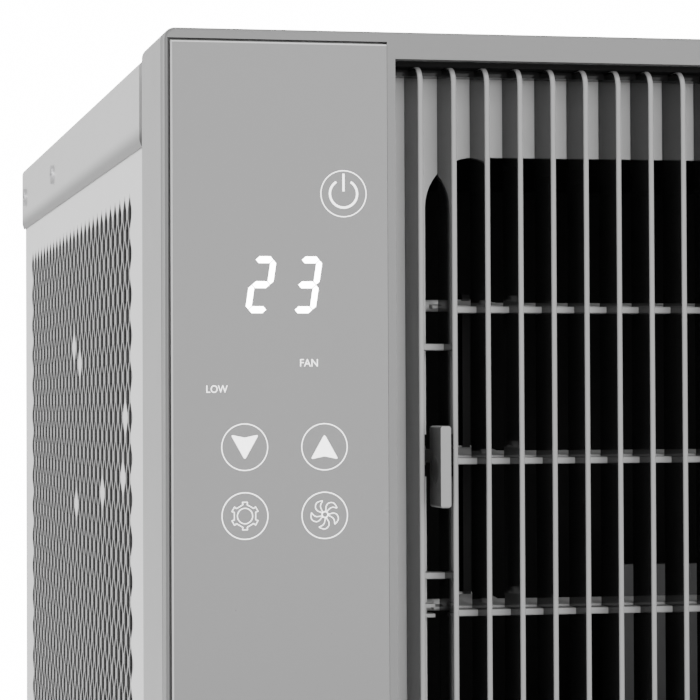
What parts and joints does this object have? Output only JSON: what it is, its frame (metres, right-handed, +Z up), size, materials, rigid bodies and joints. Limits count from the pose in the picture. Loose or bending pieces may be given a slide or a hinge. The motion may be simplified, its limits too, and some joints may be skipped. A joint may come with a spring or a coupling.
{
  "type": "window air conditioner",
  "caption": "Window air conditioner with a vertical-slat front grille, tilting louvers, touch control strip, perforated cabinet sides and a full cooling circuit inside.",
  "frame": {"origin": "underside of the base pan, at the middle of the overall width and depth", "axes": "+X to the right seen from the room, +Y from the room to outdoors, +Z up"},
  "size_m": [0.4522, 0.4156, 0.345],
  "materials": {
    "silver_plastic": "satin silver plastic",
    "silver_sheet": "silver powder coat",
    "panel_glass": "smooth silver-grey touch panel",
    "grey_plastic": "light grey plastic",
    "louver_plastic": "grey plastic",
    "black_plastic": "black plastic",
    "board": "green circuit board",
    "display": "white display block",
    "filter_net": "fine nylon net",
    "aluminium": "bare aluminium fins",
    "galvanised": "galvanised sheet",
    "steel": "zinc-plated steel",
    "copper": "bare copper tube",
    "foam": "expanded foam",
    "black_foam": "black-faced expanded foam",
    "black_steel": "black painted steel",
    "motor_steel": "dark grey paint",
    "rubber": "black rubber",
    "can": "drawn can"
  },
  "bodies": {
    "unit": {"front_trim": "silver_plastic", "front_housing": "silver_plastic", "control_glass": "panel_glass", "control_board": "board", "display_module": "display", "front_grille": "silver_plastic", "duct_panel": "grey_plastic", "stop_bracket": "silver_plastic", "room_sensor": "copper", "evaporator_fins": "aluminium", "evaporator_plates": "galvanised", "evaporator_tubes": "copper", "upper_duct": "black_foam", "scroll_housing": "foam", "inlet_ring": "black_plastic", "fan_motor": "motor_steel", "motor_bracket": "steel", "bulkhead": "galvanised", "fan_shroud": "black_plastic", "condenser_fins": "aluminium", "condenser_plates": "galvanised", "condenser_tubes": "copper", "compressor": "black_steel", "compressor_cover": "black_plastic", "compressor_grommets": "rubber", "accumulator": "copper", "suction_tube": "copper", "discharge_tube": "copper", "capillary_tube": "copper", "control_box": "galvanised", "capacitor": "can", "base_pan": "galvanised", "left_panel": "silver_sheet", "right_panel": "silver_sheet", "top_cover": "silver_sheet", "rear_guard": "silver_sheet", "cord_gland": "rubber", "cabinet_screws": "steel", "bezel_screws": "steel", "neck_frame": "black_steel"},
    "louver_top": {"louver_top": "louver_plastic"},
    "louver_middle": {"louver_middle": "louver_plastic", "louver_lever": "silver_plastic"},
    "louver_bottom": {"louver_bottom": "louver_plastic"},
    "link": {"louver_link": "black_plastic"},
    "rotor": {"motor_shaft": "steel", "blower_wheel": "black_plastic", "condenser_fan": "black_plastic"},
    "filter": {"filter_frame": "black_plastic", "filter_mesh": "filter_net"}
  },
  "joints": [
    {"name": "louver_tilt", "type": "hinge", "parent": "unit", "child": "louver_middle", "pos_m": [0, -0.1783, 0.2387], "axis": [1, 0, 0], "range_deg": [-26, 24]},
    {"name": "louver_top_tilt", "type": "hinge", "parent": "unit", "child": "louver_top", "pos_m": [0, -0.1783, 0.2772], "axis": [1, 0, 0], "range_deg": [-26, 24]},
    {"name": "louver_bottom_tilt", "type": "hinge", "parent": "unit", "child": "louver_bottom", "pos_m": [0, -0.1783, 0.2002], "axis": [1, 0, 0], "range_deg": [-26, 24]},
    {"name": "link_pivot", "type": "hinge", "parent": "louver_middle", "child": "link", "pos_m": [-0.14, -0.16234, 0.23988], "axis": [1, 0, 0], "range_deg": [-24, 26]},
    {"name": "fan_spin", "type": "hinge", "parent": "unit", "child": "rotor", "pos_m": [0.01, 0, 0.128], "axis": [0, 1, 0], "continuous": true},
    {"name": "filter_slide", "type": "slide", "parent": "unit", "child": "filter", "axis": [1, 0, 0], "range_m": [0, 0.36]}
  ],
  "couplings": [
    {"joint": "louver_top_tilt", "follows": "louver_tilt", "ratio": 1},
    {"joint": "louver_bottom_tilt", "follows": "louver_tilt", "ratio": 1},
    {"joint": "link_pivot", "follows": "louver_tilt", "ratio": -1}
  ]
}
